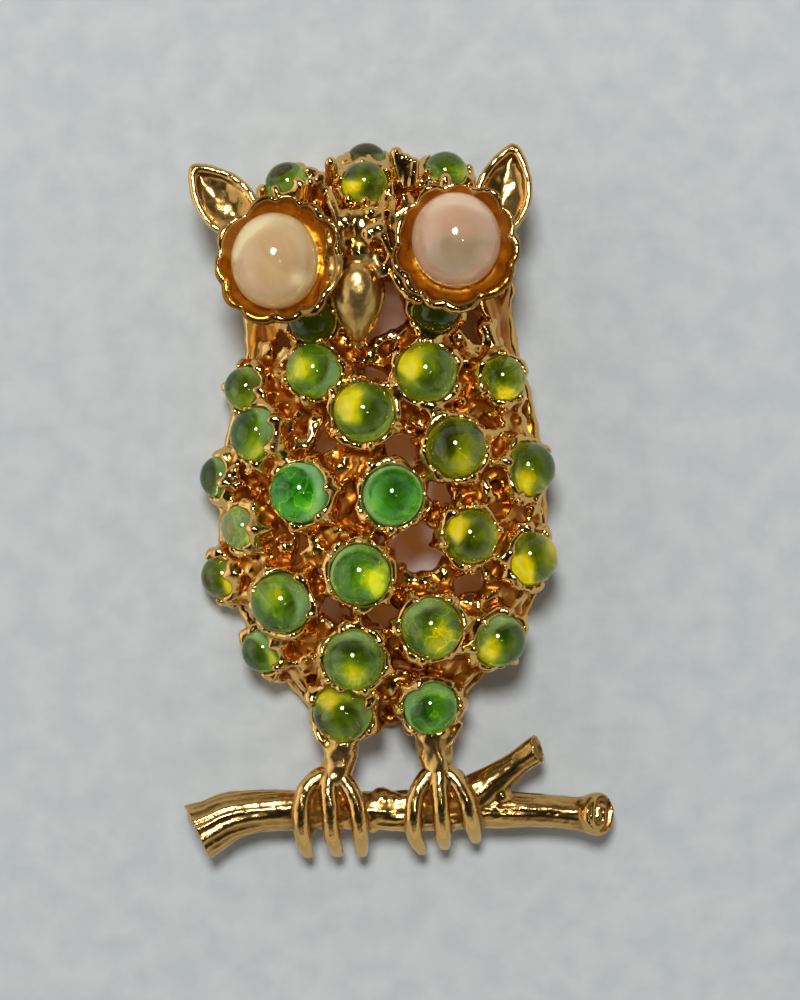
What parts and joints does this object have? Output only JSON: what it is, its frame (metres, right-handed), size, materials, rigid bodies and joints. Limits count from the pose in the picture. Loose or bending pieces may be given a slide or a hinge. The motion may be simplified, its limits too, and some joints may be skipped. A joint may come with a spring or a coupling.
{
  "type": "figural owl brooch",
  "caption": "Gold-tone openwork owl brooch on a branch, set with round green glass cabochons and two large peach cabochon eyes, with a straight pin across its hollow back.",
  "frame": {"origin": "centre of the bounding box in X and Y, on the plane of the back rim that the brooch lies on", "axes": "+X to the right as seen from the front, +Y from the branch towards the ears, +Z out of the front of the owl, away from the surface it lies on"},
  "size_m": [0.0298, 0.0493, 0.0117],
  "materials": {
    "gold_plate": "polished gold plate on a cast white-metal or brass body, darker orange in the recesses",
    "green_glass": "clear yellow-green glass with inner veils, fire polished dome",
    "eye_glass": "milky peach glass, translucent, fire polished dome",
    "pin_metal": "drawn and plated wire with plain blocks"
  },
  "bodies": {
    "root": {"casting": "gold_plate", "eye_left": "eye_glass", "eye_right": "eye_glass", "pin_back": "pin_metal", "stone_crown_1": "green_glass", "stone_crown_2": "green_glass", "stone_crown_3": "green_glass", "stone_crown_4": "green_glass", "stone_neck_1": "green_glass", "stone_neck_2": "green_glass", "stone_shoulder_1": "green_glass", "stone_shoulder_2": "green_glass", "stone_shoulder_3": "green_glass", "stone_shoulder_4": "green_glass", "stone_chest_1": "green_glass", "stone_chest_2": "green_glass", "stone_chest_3": "green_glass", "stone_middle_1": "green_glass", "stone_middle_2": "green_glass", "stone_middle_3": "green_glass", "stone_middle_4": "green_glass", "stone_waist_1": "green_glass", "stone_waist_2": "green_glass", "stone_waist_3": "green_glass", "stone_waist_4": "green_glass", "stone_waist_5": "green_glass", "stone_belly_1": "green_glass", "stone_belly_2": "green_glass", "stone_belly_3": "green_glass", "stone_belly_4": "green_glass", "stone_belly_5": "green_glass", "stone_hip_1": "green_glass", "stone_hip_2": "green_glass"}
  },
  "joints": []
}
